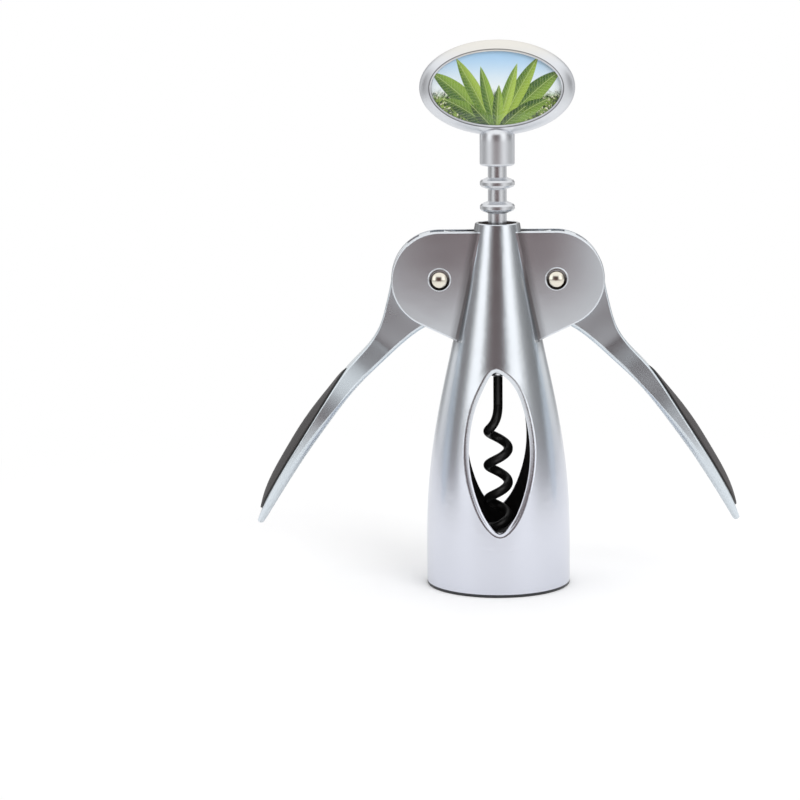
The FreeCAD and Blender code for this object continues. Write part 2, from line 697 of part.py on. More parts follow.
def oval_block(side_inset, top_inset, y0, y1):
    return Part.Face(oval(side_inset, top_inset, y0)).extrude(Vector(0, y1 - y0, 0))


def rolled_oval():
    """The oval: a flat front, a rim that slopes out from it, and a roll to the flat back."""
    sections = []
    for width, height in RIM_SLOPE:
        sections.append(oval(RIM_W * width, RIM_H * width, -OVAL_FRONT * height))
    for degrees in ROLL_DEGREES:
        t = math.radians(degrees)
        inset = BACK_ROLL * (1 - math.cos(t))
        sections.append(oval(inset, inset, OVAL_BACK * math.sin(t)))
    return Part.makeLoft(sections, True, False)


def make_collar():
    collar = Part.makeCylinder(RING_R, COLLAR_H, Vector(0, 0, COLLAR_BOTTOM_Z))
    circles = [e for e in collar.Edges if isinstance(e.Curve, Part.Circle)]
    lower = min(circles, key=lambda e: e.BoundBox.ZMax)
    collar = collar.makeFillet(COLLAR_FILLET, [lower])
    upper = [e for e in collar.Edges if e.BoundBox.ZMin > DOME_TOP_Z - TOUCH]
    return collar.makeFillet(DOME_FILLET, upper)


def make_handle():
    front = -OVAL_FRONT
    lip = oval_block(RIM_W, RIM_H, front, front + LIP_STEP)
    recess = oval_block(RIM_W + LIP, RIM_H + LIP, front, front + PICTURE_RECESS)
    seam = oval_block(-RIM_W, -RIM_H, SEAM_Y, SEAM_Y + SEAM_W)
    seam = seam.cut(oval_block(SEAM_DEPTH, SEAM_DEPTH, SEAM_Y, SEAM_Y + SEAM_W))
    collar_zone = Part.makeCylinder(RING_R + SEAM_STOP, OVAL_Z)
    seam = seam.cut(collar_zone)
    washer_top = RACK_TOP_Z + AXIAL_PLAY + THRUST_WASHER_T
    counterbore = Part.makeCylinder(COUNTERBORE_R, washer_top - COLLAR_BOTTOM_Z,
                                    Vector(0, 0, COLLAR_BOTTOM_Z))
    socket = Part.makeCylinder(SPINDLE_R, SHANK_IN_COLLAR, Vector(0, 0, COLLAR_BOTTOM_Z))
    handle = rolled_oval().fuse(make_collar()).removeSplitter()
    return handle.cut([lip, recess, seam, counterbore, socket])


def make_disc():
    back = -OVAL_FRONT + PICTURE_RECESS
    return oval_block(RIM_W + LIP + INSET_GAP, RIM_H + LIP + INSET_GAP, back - DISC_T, back)


def make_clear_dome():
    """Flat foot, upright edge and a shallow crown cut from an ellipsoid."""
    foot = -OVAL_FRONT + PICTURE_RECESS - DISC_T
    side, top = RIM_W + LIP + INSET_GAP, RIM_H + LIP + INSET_GAP
    slab = oval_block(side, top, foot - CLEAR_CROWN_H, foot)
    rim_share = math.sqrt(1 - 1 / CLEAR_SPREAD ** 2)
    depth = (CLEAR_CROWN_H - CLEAR_EDGE_H) / (1 - rim_share)
    matrix = FreeCAD.Matrix()
    matrix.scale((OVAL_HALF_W - side) * CLEAR_SPREAD, depth, (OVAL_HALF_H - top) * CLEAR_SPREAD)
    bowl = Part.makeSphere(1.0).transformGeometry(matrix)
    bowl.translate(Vector(0, foot - CLEAR_CROWN_H + depth, OVAL_Z))
    return slab.common(bowl)


# ---------------------------------------------------------------- all nodes

save("bell_body", make_body())
save("mouth_liner", make_liner())
for name, x in (("left", -PIVOT_X), ("right", PIVOT_X)):
    save(name + "_pivot_pin", make_pin(x))
    save(name + "_front_washer", make_washer(x, -1))
    save(name + "_rear_washer", make_washer(x, 1))
left_lever = make_lever()
left_pad = make_pad()
save("left_lever", left_lever)
save("right_lever", mirrored(left_lever))
save("left_grip_pad", left_pad)
save("right_grip_pad", mirrored(left_pad))
save("rack_sleeve", make_rack())
save("rack_foot_ring", make_foot_ring())
save("rack_thrust_washer", make_thrust_washer())
save("worm", make_worm())
for name, shape in (("handle_frame", make_handle()), ("picture_disc", make_disc()),
                    ("clear_dome", make_clear_dome())):
    shape.rotate(Vector(0, 0, 0), Vector(0, 0, 1), HANDLE_TURN_DEG)
    save(name, shape)
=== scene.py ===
import bpy
import math
from mathutils import Matrix, Vector


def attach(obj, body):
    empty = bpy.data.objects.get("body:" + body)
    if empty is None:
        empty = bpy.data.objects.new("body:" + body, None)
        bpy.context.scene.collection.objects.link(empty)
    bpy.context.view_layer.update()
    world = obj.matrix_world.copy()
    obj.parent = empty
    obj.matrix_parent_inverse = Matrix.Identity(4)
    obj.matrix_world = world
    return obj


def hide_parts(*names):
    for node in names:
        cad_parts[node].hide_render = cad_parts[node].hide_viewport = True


# A wing corkscrew: a die-cast bell with two geared levers, a ringed rack in which the worm turns,
# and an oval handle that holds a picture under a clear dome. Metres, Z up, -Y is the front.

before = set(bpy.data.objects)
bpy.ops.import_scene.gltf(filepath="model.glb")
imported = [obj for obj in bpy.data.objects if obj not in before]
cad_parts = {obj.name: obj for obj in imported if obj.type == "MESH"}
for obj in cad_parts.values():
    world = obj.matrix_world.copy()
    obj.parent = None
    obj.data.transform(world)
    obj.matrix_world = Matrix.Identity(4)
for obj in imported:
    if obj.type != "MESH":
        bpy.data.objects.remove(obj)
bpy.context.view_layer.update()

# ------------------------------------------------------------------ bell body
# A zinc die casting: the bell that stands on the bottle, its cone, and four ear plates that
# hold the pivot pins. Outside it is plated with satin nickel; the hollow is bare metal painted nearly
# black, which is partly painted shade.

# A pair of numbers for ease() says where an effect starts and where it is full. Depths are
# measured in from the bell's outside, so they are negative on the ear plates.
BELL_LINE = [(0.0, 0.0210), (0.010, 0.0210), (0.0244, 0.02072), (0.0424, 0.0189), (0.0567, 0.01635),
             (0.0708, 0.0133), (0.088, 0.00975), (0.1064, 0.0065)]   # height, outer radius
PIN_PLACE = (0.0169, 0.0, 0.0902)

SATIN = (0.70, 0.735, 0.78)      # the plating's colour, faintly blue
SATIN_CLOUD = (0.655, 0.685, 0.72)
CLOUD_SPREAD, GRAIN_SPREAD = 0.05, 0.02  # how far clouds and grain change the roughness
WAVE_HEIGHT = 0.0006
LILAC_REFLECTION = (0.665, 0.68, 0.76)      # a painted lilac reflection, stronger towards the bell's foot
LILAC_HEIGHT, LILAC_SHARE = (0.060, 0.030), 0.75

PLATE_FACING = (0.9, 0.99)       # how squarely an ear plate looks to the front or back
CREASE_SHADE = (0.17, 0.17, 0.175)     # painted shade in the corner where plate and cone meet
CREASE_OUTER, CREASE_INNER, CREASE_SHARE = (-0.0028, -0.0006), (-0.0003, -0.0007), 0.55
FLANK_SIDE, FLANK_DEPTH = (0.80, 0.87), (-0.0012, -0.0004)     # the cone's side of that painted shade
FLANK_HEIGHT, FLANK_SHARE = (0.068, 0.075), 0.8

SEAT_SHADOW = (0.03, 0.027, 0.025)      # a painted shadow in the gap round a pin, darker on its lower side
SEAT_R, SEAT_EDGE = 0.00292, 0.00004
SEAT_HEIGHT = (PIN_PLACE[2] + 0.0035, PIN_PLACE[2] - 0.001)
DISH_PLACE, DISH_R = (0.0169, 0.0, 0.0905), 0.00312      # the dish that the pin's head stands in
DISH_RIM_WIDTH, DISH_RIM_HEIGHT = 0.0003, 0.0001

HOLLOW_FOOT, HOLLOW_NECK = (0.012, 0.011, 0.012), (0.05, 0.036, 0.03)     # bare metal with painted shade, low and high
HOLLOW_FACING, HOLLOW_DEPTH = (-0.55, -0.85), (0.0004, 0.0009)
HOLLOW_ROUGHNESS = 0.6

CROWN_DEPTH = (-0.0002, -0.0008)         # clear of the cone, the ear plates swell a little
CROWN_SIDE, CROWN_SIDE_GROWTH = 0.012, 12.4      # outwards from here, and how fast
CROWN_FOOT, CROWN_FOOT_GROWTH = 0.095, 2.3       # downwards from here, and how fast
WINDOW_FACING = ((0.82, 0.68), (-0.6, -0.5))     # a window's rolled edge faces neither out nor in
WINDOW_HEIGHT = ((0.018, 0.023), (0.072, 0.069))
WINDOW_DEPTH = (0.0036, 0.0030)          # and lies no deeper than the wall
WINDOW_LEAN = 1.9                # how far the rolled edge faces forwards


def put(tree, value, entry):
    """Links an output to a socket, or sets a plain value on it; a plain colour is opaque."""
    if isinstance(value, bpy.types.NodeSocket):
        tree.links.new(value, entry)
    elif entry.type == "RGBA":
        entry.default_value = (*value, 1)
    else:
        entry.default_value = value


def fill(tree, node, inputs):
    """Sets or links a node's sockets by name, with _ for a space."""
    for socket, value in inputs.items():
        put(tree, value, node.inputs[socket.replace("_", " ")])


def new_material(name, **values):
    """A material with one Principled shader, its plain values set on the shader's own sockets."""
    material = bpy.data.materials.new(name)
    material.use_nodes = True
    tree = material.node_tree
    shader = tree.nodes["Principled BSDF"]
    fill(tree, shader, values)
    return material, tree, shader


def add(tree, kind, **inputs):
    """A node with its sockets set or linked by name."""
    node = tree.nodes.new("ShaderNode" + kind)
    fill(tree, node, inputs)
    return node


def work_out(tree, kind, operation, values):
    """A node that does one operation on values given in the order of its sockets."""
    node = tree.nodes.new("ShaderNode" + kind)
    node.operation = operation
    for entry, value in zip(node.inputs, values):
        put(tree, value, entry)
    return node.outputs


def calculate(tree, operation, *values):
    """A number worked out from numbers."""
    return work_out(tree, "Math", operation, values)["Value"]


def measure(tree, operation, *values):
    """A number measured on vectors, such as a length."""
    return work_out(tree, "VectorMath", operation, values)["Value"]


def vector(tree, operation, *values):
    """A vector worked out from vectors."""
    return work_out(tree, "VectorMath", operation, values)["Vector"]


def product(tree, *values):
    """Numbers multiplied together."""
    result = values[0]
    for value in values[1:]:
        result = calculate(tree, "MULTIPLY", result, value)
    return result


def ease(tree, value, low, high):
    """0 below low and 1 above high, with a soft change between; low may be the larger."""
    node = add(tree, "MapRange", Value=value, From_Min=low, From_Max=high)
    node.interpolation_type = "SMOOTHSTEP"
    return node.outputs["Result"]


def mixed(tree, factor, first, second):
    """Two colours mixed by a factor."""
    node = tree.nodes.new("ShaderNodeMix")
    node.data_type = "RGBA"
    for entry, value in (("Factor", factor), ("A", first), ("B", second)):
        sockets = [s for s in node.inputs if s.name == entry and s.enabled]
        put(tree, value, sockets[0])
    return [s for s in node.outputs if s.enabled][0]


def noise(tree, place, scale, detail, roughness=0.5):
    """An uneven pattern from 0 to 1."""
    node = add(tree, "TexNoise", Vector=place, Scale=scale, Detail=detail, Roughness=roughness)
    return node.outputs["Fac"]


def waver(tree, pattern, spread):
    """A pattern from 0 to 1, made into changes round 0."""
    return calculate(tree, "MULTIPLY_ADD", pattern, spread, -spread / 2)


def profile(tree, value, points):
    """A smooth line through points, read at a value."""
    reach = points[-1][0]
    low, high = min(y for _, y in points), max(y for _, y in points)
    node = add(tree, "FloatCurve", Value=calculate(tree, "DIVIDE", value, reach))
    line = node.mapping.curves[0]
    while len(line.points) < len(points):
        line.points.new(0.5, 0.5)
    for point, (x, y) in zip(line.points, points):
        point.location = (x / reach, (y - low) / (high - low))
    node.mapping.update()
    return calculate(tree, "MULTIPLY_ADD", node.outputs["Value"], high - low, low)


def arrow(tree, **parts):
    """A vector put together from its X, Y and Z."""
    return add(tree, "CombineXYZ", **parts).outputs["Vector"]


def bumped(tree, **values):
    """A surface's normal, turned by the slopes of a height."""
    return add(tree, "Bump", **values).outputs["Normal"]


def new_group(name, inputs, outputs):
    """A node group with named sockets: inputs as name, kind and value, outputs as name and kind."""
    group = bpy.data.node_groups.new(name, "ShaderNodeTree")
    for socket, kind, value in inputs:
        made = group.interface.new_socket(socket, in_out="INPUT", socket_type="NodeSocket" + kind)
        made.default_value = (*value, 1) if kind == "Color" else value
    for socket, kind in outputs:
        group.interface.new_socket(socket, in_out="OUTPUT", socket_type="NodeSocket" + kind)
    given = group.nodes.new("NodeGroupInput").outputs
    wanted = group.nodes.new("NodeGroupOutput").inputs
    return group, given, wanted


def use(tree, group, **inputs):
    """A group placed in a material with this material's values."""
    node = tree.nodes.new("ShaderNodeGroup")
    node.node_tree = group
    fill(tree, node, inputs)
    return node.outputs


def dress(tree, shader, finish):
    """Links a finish's colour, roughness and surface to the shader."""
    for socket, source in (("Base Color", "Colour"), ("Roughness", "Roughness"), ("Normal", "Normal")):
        put(tree, finish[source], shader.inputs[socket])


def cover(material, *nodes):
    """Puts a material on the pieces of these names."""
    for node in nodes:
        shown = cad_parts[node]
        shown.data.materials.clear()
        shown.data.materials.append(material)


# Satin nickel as every plated piece has it: slightly clouded in colour and roughness, and not
# quite flat, as a casting that is polished before plating is.
satin, given, wanted = new_group(
    "satin nickel",
    [("Colour", "Color", SATIN), ("Cloud", "Color", SATIN_CLOUD),
     ("Roughness", "Float", 0.25), ("Ripple", "Float", 0.05)],
    [("Colour", "Color"), ("Roughness", "Float"), ("Normal", "Vector")])
place = add(satin, "TexCoord").outputs["Object"]
clouds = noise(satin, place, scale=70.0, detail=3.0, roughness=0.55)
grain = noise(satin, place, scale=2600.0, detail=2.0)
waves = noise(satin, place, scale=160.0, detail=1.0, roughness=0.4)
put(satin, mixed(satin, clouds, given["Colour"], given["Cloud"]), wanted["Colour"])
rough = calculate(satin, "ADD", given["Roughness"], waver(satin, clouds, CLOUD_SPREAD))
rough = calculate(satin, "ADD", rough, waver(satin, grain, GRAIN_SPREAD))
put(satin, rough, wanted["Roughness"])
ripple = bumped(satin, Strength=given["Ripple"], Distance=WAVE_HEIGHT, Height=waves)
put(satin, ripple, wanted["Normal"])

# A surface leans by a slope that is given in the piece's own axes.
leaning, given, wanted = new_group(
    "leaning", [("Normal", "Vector", (0, 0, 0)), ("Lean", "Vector", (0, 0, 0))], [("Normal", "Vector")])
slope = add(leaning, "VectorTransform", Vector=given["Lean"])
slope.vector_type = "VECTOR"
slope.convert_from = "OBJECT"
slope.convert_to = "WORLD"
leant = vector(leaning, "ADD", given["Normal"], slope.outputs["Vector"])
put(leaning, vector(leaning, "NORMALIZE", leant), wanted["Normal"])


def plated(name, colour, cloud, roughness, ripple):
    """A metal material with the satin nickel finish, which is given back for further work."""
    material, tree, shader = new_material(name, Metallic=1.0)
    finish = use(tree, satin, Colour=colour, Cloud=cloud, Roughness=roughness, Ripple=ripple)
    dress(tree, shader, finish)
    return material, tree, shader, finish


cast, tree, shader, finish = plated("cast nickel", SATIN, SATIN_CLOUD, roughness=0.25, ripple=0.04)
coordinates = add(tree, "TexCoord").outputs
where = add(tree, "SeparateXYZ", Vector=coordinates["Object"]).outputs
facing = add(tree, "SeparateXYZ", Vector=coordinates["Normal"]).outputs
flat = arrow(tree, X=where["X"], Y=where["Y"])
radius = measure(tree, "LENGTH", flat)
depth = calculate(tree, "SUBTRACT", profile(tree, where["Z"], BELL_LINE), radius)
outward = calculate(tree, "DIVIDE", measure(tree, "DOT_PRODUCT", flat, coordinates["Normal"]), radius)
side = calculate(tree, "ABSOLUTE", where["X"])
on_face = arrow(tree, X=side, Z=where["Z"])
plate = ease(tree, calculate(tree, "ABSOLUTE", facing["Y"]), *PLATE_FACING)

# The plating's tone with a painted lilac reflection towards the foot, painted shade in the corners where
# plate and cone meet, and a painted shadow in the gap round each pin.
lilac_reflection = product(tree, ease(tree, where["Z"], *LILAC_HEIGHT), LILAC_SHARE)
colour = mixed(tree, lilac_reflection, finish["Colour"], LILAC_REFLECTION)
shade_beside_cone = product(tree, ease(tree, depth, *CREASE_OUTER), ease(tree, depth, *CREASE_INNER),
                      CREASE_SHARE)
flank = ease(tree, calculate(tree, "DIVIDE", side, radius), *FLANK_SIDE)
shade_beside_plate = product(tree, flank, ease(tree, depth, *FLANK_DEPTH), ease(tree, where["Z"], *FLANK_HEIGHT),
                       FLANK_SHARE)
colour = mixed(tree, calculate(tree, "MAXIMUM", shade_beside_cone, shade_beside_plate), colour, CREASE_SHADE)
seat_shadow = ease(tree, measure(tree, "DISTANCE", on_face, PIN_PLACE), SEAT_R + SEAT_EDGE, SEAT_R - SEAT_EDGE)
colour = mixed(tree, product(tree, ease(tree, where["Z"], *SEAT_HEIGHT), seat_shadow), colour, SEAT_SHADOW)

# The hollow has no plating; its nearly black colour is partly painted shade, darker low than high.
inside = product(tree, ease(tree, outward, *HOLLOW_FACING), ease(tree, depth, *HOLLOW_DEPTH))
bare_and_shaded = mixed(tree, ease(tree, where["Z"], 0.0, BELL_LINE[-1][0]), HOLLOW_FOOT, HOLLOW_NECK)
put(tree, mixed(tree, inside, colour, bare_and_shaded), shader.inputs["Base Color"])
put(tree, calculate(tree, "SUBTRACT", 1.0, inside), shader.inputs["Metallic"])
rough = calculate(tree, "MAXIMUM", finish["Roughness"], product(tree, inside, HOLLOW_ROUGHNESS))
put(tree, rough, shader.inputs["Roughness"])

# A fine raised rim round each dish, swelling ear plates, and rolled edges on the windows.
from_dish = measure(tree, "DISTANCE", on_face, DISH_PLACE)
off_rim = calculate(tree, "ABSOLUTE", calculate(tree, "SUBTRACT", from_dish, DISH_R))
dish_rim = product(tree, ease(tree, off_rim, DISH_RIM_WIDTH, 0.0), plate, DISH_RIM_HEIGHT)
rimmed = bumped(tree, Strength=1.0, Distance=1.0, Normal=finish["Normal"], Height=dish_rim)
crown = product(tree, plate, ease(tree, depth, *CROWN_DEPTH))
beyond_side = calculate(tree, "MAXIMUM", calculate(tree, "SUBTRACT", side, CROWN_SIDE), 0.0)
beyond_foot = calculate(tree, "MAXIMUM", calculate(tree, "SUBTRACT", CROWN_FOOT, where["Z"]), 0.0)
sideways = product(tree, beyond_side, CROWN_SIDE_GROWTH, crown, calculate(tree, "SIGN", where["X"]))
upwards = product(tree, beyond_foot, CROWN_FOOT_GROWTH, crown, -1.0)
rolled = ease(tree, depth, *WINDOW_DEPTH)
for span in WINDOW_FACING:
    rolled = product(tree, rolled, ease(tree, outward, *span))
for span in WINDOW_HEIGHT:
    rolled = product(tree, rolled, ease(tree, where["Z"], *span))
forwards = product(tree, rolled, WINDOW_LEAN, calculate(tree, "SIGN", where["Y"]))
shaped = use(tree, leaning, Normal=rimmed, Lean=arrow(tree, X=sideways, Y=forwards, Z=upwards))
put(tree, shaped["Normal"], shader.inputs["Normal"])
cover(cast, "bell_body")

# ------------------------------------------------------------------ mouth liner
# A black moulded plastic ring pressed into the bell. Its flange shows as a thin black foot,
# and inside it a ledge stops the bottle's lip.

LINER, LINER_FLECK = (0.016, 0.017, 0.02), (0.03, 0.031, 0.034)
FLECK_PEBBLES, FLECK_PATCHES = (0.5, 0.75), (0.25, 0.75)     # flecks are the tops of pebbles, in patches
WORN_SPREAD = 0.16               # how far handling changes the roughness
PEBBLE_HEIGHT = 0.00008

# Moulded or dipped skins share a fine pebbled grain with flecks of another tone.
moulded, given, wanted = new_group(
    "moulded skin",
    [("Colour", "Color", (0.02, 0.02, 0.02)), ("Fleck", "Color", (0.04, 0.04, 0.04)),
     ("Roughness", "Float", 0.4), ("Fineness", "Float", 3000.0), ("Relief", "Float", 0.2)],
    [("Colour", "Color"), ("Roughness", "Float"), ("Normal", "Vector")])
place = add(moulded, "TexCoord").outputs["Object"]
pebbles = noise(moulded, place, scale=given["Fineness"], detail=3.0, roughness=0.6)
handled = noise(moulded, place, scale=90.0, detail=3.0, roughness=0.6)
flecks = product(moulded, ease(moulded, pebbles, *FLECK_PEBBLES), ease(moulded, handled, *FLECK_PATCHES))
put(moulded, mixed(moulded, flecks, given["Colour"], given["Fleck"]), wanted["Colour"])
rough = calculate(moulded, "ADD", given["Roughness"], waver(moulded, handled, WORN_SPREAD))
put(moulded, rough, wanted["Roughness"])
relief = bumped(moulded, Strength=given["Relief"], Distance=PEBBLE_HEIGHT, Height=pebbles)
put(moulded, relief, wanted["Normal"])


def skinned(name, colour, fleck, roughness, fineness, relief):
    """A material with the moulded skin, which is given back for further work."""
    material, tree, shader = new_material(name)
    finish = use(tree, moulded, Colour=colour, Fleck=fleck, Roughness=roughness, Fineness=fineness,
                 Relief=relief)
    dress(tree, shader, finish)
    return material, tree, shader, finish


liner, *_ = skinned("liner black", LINER, LINER_FLECK, roughness=0.40, fineness=2200.0, relief=0.25)
cover(liner, "mouth_liner")

# ------------------------------------------------------------------ pivot pins and washers
# Turned pins with polished domed heads, warmer in tone than the castings and pressed through the
# ear plates. Thin steel washers keep the levers clear of the plates, and the collar off the rack.

PIN, PIN_CLOUD = (0.80, 0.76, 0.66), (0.72, 0.68, 0.59)
WASHER, WASHER_CLOUD = (0.56, 0.56, 0.57), (0.47, 0.47, 0.48)
TOOL_MARK = 0.00004              # depth of a lathe's lines

# A lathe leaves fine lines round whatever it turns; they follow one measure of the piece.
turned, given, wanted = new_group(
    "turned lines",
    [("Along", "Float", 0.0), ("Fineness", "Float", 9000.0), ("Depth", "Float", 0.1),
     ("Normal", "Vector", (0, 0, 0))],
    [("Normal", "Vector")])
lines = turned.nodes.new("ShaderNodeTexNoise")
lines.noise_dimensions = "1D"
put(turned, product(turned, given["Along"], given["Fineness"]), lines.inputs["W"])
lines.inputs["Detail"].default_value = 2.0
cut = bumped(turned, Strength=given["Depth"], Distance=TOOL_MARK, Height=lines.outputs["Fac"],
             Normal=given["Normal"])
put(turned, cut, wanted["Normal"])


def own_place(tree):
    """A place in the piece's own axes, as X, Y and Z."""
    return add(tree, "SeparateXYZ", Vector=add(tree, "TexCoord").outputs["Object"]).outputs


pin, tree, shader, finish = plated("pin nickel", PIN, PIN_CLOUD, roughness=0.12, ripple=0.02)
where = own_place(tree)
on_face = arrow(tree, X=calculate(tree, "ABSOLUTE", where["X"]), Z=where["Z"])
from_middle = measure(tree, "DISTANCE", on_face, PIN_PLACE)
marks = use(tree, turned, Along=from_middle, Fineness=7000.0, Depth=0.08, Normal=finish["Normal"])
put(tree, marks["Normal"], shader.inputs["Normal"])
cover(pin, "left_pivot_pin", "right_pivot_pin")

steel, tree, shader, finish = plated("washer steel", WASHER, WASHER_CLOUD, roughness=0.28, ripple=0.02)
out = measure(tree, "LENGTH", add(tree, "TexCoord").outputs["Object"])
marks = use(tree, turned, Along=out, Fineness=6000.0, Depth=0.12, Normal=finish["Normal"])
put(tree, marks["Normal"], shader.inputs["Normal"])
cover(steel, "left_front_washer", "left_rear_washer", "right_front_washer", "right_rear_washer",
      "rack_thrust_washer")

# ------------------------------------------------------------------ levers
# Zinc castings with the same satin nickel, each the mirror of the other. A toothed sector turns
# on the pin inside the ears, and the arm ends in a spoon-shaped handle.

LEVER, LEVER_CLOUD = (0.68, 0.74, 0.79), (0.635, 0.69, 0.73)
LEVER_REST = math.radians(38)    # from straight down to the lever's own long axis
SLOPES = [(0.0, 0.0), (0.012, 0.0), (0.018, 0.035), (0.025, 0.012), (0.031, 0.03), (0.036, 0.12),
          (0.041, 0.14), (0.045, 0.12), (0.051, 0.07), (0.056, -0.01), (0.064, -0.02),
          (0.070, 0.0), (0.1, 0.0)]      # place along the lever, slope of the swelling before the pad
TWIST = 0.21                     # how far the right arm faces outwards before its pad
TWIST_START, TWIST_END = (0.018, 0.032), (0.060, 0.050)
BAND = [(0.0, -0.008), (0.030, -0.0015), (0.036, -0.0002), (0.043, 0.0009), (0.052, 0.0015),
        (0.062, 0.0016), (0.072, 0.0009), (0.080, 0.0), (0.088, -0.0014),
        (0.1, -0.0040)]          # place along the lever, where the band on its inner edge begins
BAND_EDGE, BAND_LEAN = (-0.0001, 0.0001), 0.6


def lever_axes(tree):
    """How far along a lever and how far out from its long axis, the same for both levers."""
    where = own_place(tree)
    out = calculate(tree, "SUBTRACT", calculate(tree, "ABSOLUTE", where["X"]), PIN_PLACE[0])
    up = calculate(tree, "SUBTRACT", where["Z"], PIN_PLACE[2])
    sine, cosine = math.sin(LEVER_REST), math.cos(LEVER_REST)
    along = calculate(tree, "MULTIPLY_ADD", up, -cosine, product(tree, out, sine))
    across = calculate(tree, "MULTIPLY_ADD", up, sine, product(tree, out, cosine))
    return along, across


lever, tree, shader, finish = plated("lever nickel", LEVER, LEVER_CLOUD, roughness=0.28, ripple=0.04)
along, across = lever_axes(tree)
in_band = ease(tree, calculate(tree, "SUBTRACT", profile(tree, along, BAND), across), *BAND_EDGE)
uphill = profile(tree, along, SLOPES)
inwards = product(tree, in_band, BAND_LEAN)
sine, cosine = math.sin(LEVER_REST), math.cos(LEVER_REST)
to_middle = calculate(tree, "MULTIPLY_ADD", uphill, sine, product(tree, inwards, cosine))
upwards = calculate(tree, "MULTIPLY_ADD", uphill, cosine, product(tree, inwards, -sine))
hand = calculate(tree, "SIGN", own_place(tree)["X"])     # -1 on the left, 1 on the right
twist = product(tree, ease(tree, along, *TWIST_START), ease(tree, along, *TWIST_END), TWIST,
                calculate(tree, "MAXIMUM", hand, 0.0))
sideways = calculate(tree, "MULTIPLY_ADD", product(tree, to_middle, hand), -1.0, twist)
shaped = use(tree, leaning, Normal=finish["Normal"], Lean=arrow(tree, X=sideways, Z=upwards))
put(tree, shaped["Normal"], shader.inputs["Normal"])
cover(lever, "left_lever", "right_lever")

# ------------------------------------------------------------------ grip pads
# Soft-touch rubber inlays, crowned along their length. Each is glued in a pocket of its lever,
# and has a painted black shadow where it goes down into the pocket.

PAD, PAD_FLECK, PAD_FOOT_SHADOW = (0.046, 0.042, 0.043), (0.078, 0.073, 0.075), (0.006, 0.006, 0.006)
POCKET = [(0.0, 0.0085), (0.029, 0.0047), (0.037, 0.0054), (0.043, 0.0052), (0.052, 0.00445),
          (0.062, 0.00345), (0.0723, 0.0024), (0.0803, 0.0011), (0.0863, -0.00035),
          (0.1, -0.0045)]        # place along the lever, where the pocket's wall ends
POCKET_EDGE = (0.0006, 0.0003)   # how near the wall the painted shadow lies

rubber, tree, shader, finish = skinned("pad rubber", PAD, PAD_FLECK, roughness=0.52, fineness=3400.0,
                                       relief=0.45)
along, across = lever_axes(tree)
# Painted shadow: the pad turns black near the pocket's wall.
foot_shadow = ease(tree, calculate(tree, "SUBTRACT", across, profile(tree, along, POCKET)), *POCKET_EDGE)
put(tree, mixed(tree, foot_shadow, finish["Colour"], PAD_FOOT_SHADOW), shader.inputs["Base Color"])
cover(rubber, "left_grip_pad", "right_grip_pad")

# ------------------------------------------------------------------ rack and foot ring
# A turned sleeve with rings that the levers' teeth push, plated like the body but smoother. A
# rounded ring closes its lower end, where the worm comes out.

RACK, RACK_CLOUD = (0.70, 0.715, 0.745), (0.65, 0.665, 0.69)

rack, tree, shader, finish = plated("rack nickel", RACK, RACK_CLOUD, roughness=0.25, ripple=0.02)
marks = use(tree, turned, Along=own_place(tree)["Z"], Fineness=8000.0, Depth=0.15,
            Normal=finish["Normal"])
put(tree, marks["Normal"], shader.inputs["Normal"])
cover(rack, "rack_sleeve", "rack_foot_ring")

# ------------------------------------------------------------------ worm
# Steel wire wound into a screw under a straight shank that turns in the rack. It has a black
# non-stick coating that thins towards the point.

COATING, COATING_FLECK, THIN_COATING = (0.011, 0.011, 0.011), (0.02, 0.02, 0.021), (0.12, 0.12, 0.125)
POINT_HEIGHT, THIN_LENGTH, THIN_SHARE = 0.0092, 0.004, 0.5

coat, tree, shader, finish = skinned("worm black", COATING, COATING_FLECK, roughness=0.36, fineness=1500.0,
                                     relief=0.3)
thin = ease(tree, own_place(tree)["Z"], POINT_HEIGHT + THIN_LENGTH, POINT_HEIGHT)
colour = mixed(tree, product(tree, thin, THIN_SHARE), finish["Colour"], THIN_COATING)
put(tree, colour, shader.inputs["Base Color"])
cover(coat, "worm")

# ------------------------------------------------------------------ handle
# An oval zinc casting on a round collar that is fixed to the worm's shank, plated in a paler,
# duller nickel. Its rim slopes out from the lip that frames the picture.

PEARL, PEARL_CLOUD = (0.745, 0.765, 0.80), (0.70, 0.72, 0.75)
CREAM_REFLECTION, CREAM_REFLECTION_HEIGHT = (0.76, 0.74, 0.69), (0.006, 0.013)     # a painted warm reflection on the rim's top, above the middle
HANDLE_TURN = math.radians(-5)
PICTURE_Z = 0.14525
FRONT_DEPTH = (-0.0018, -0.0026)         # the handle's face, in front of its middle
LIP_HALF_W, LIP_HALF_H = 0.0193, 0.01115     # the lip's outer edge
LIP_LEAN = 0.5                   # the lip is a little rounded, out from the picture
LIP_OUTER, LIP_INNER = (0.00004, -0.00006), (-0.0009, -0.0007)
STEP_SHADE, STEP_WIDTH, STEP_SHARE = (0.12, 0.11, 0.12), (0.00018, 0.00006), 0.7    # a painted shade line round the lip
COLLAR_TOP = 0.1345 - PICTURE_Z  # from the middle of the oval
SHOULDER_LEAN = 0.12             # the collar's shoulder is a little rounder than its fillet
SHOULDER_TOP = (COLLAR_TOP + 0.0002, COLLAR_TOP - 0.0002)
SHOULDER_FOOT = (COLLAR_TOP - 0.0050, COLLAR_TOP - 0.0030)
SHOULDER_SIDE = (0.0052, 0.0048)
SHOULDER_SMOOTHER = -0.08        # change of its roughness


def handle_axes(tree):
    """A place in the handle's own axes, from the middle of its oval."""
    centred = add(tree, "Mapping", Vector=add(tree, "TexCoord").outputs["Object"])
    centred.vector_type = "TEXTURE"
    centred.inputs["Location"].default_value = (0, 0, PICTURE_Z)
    centred.inputs["Rotation"].default_value = (0, 0, HANDLE_TURN)
    return add(tree, "SeparateXYZ", Vector=centred.outputs["Vector"]).outputs


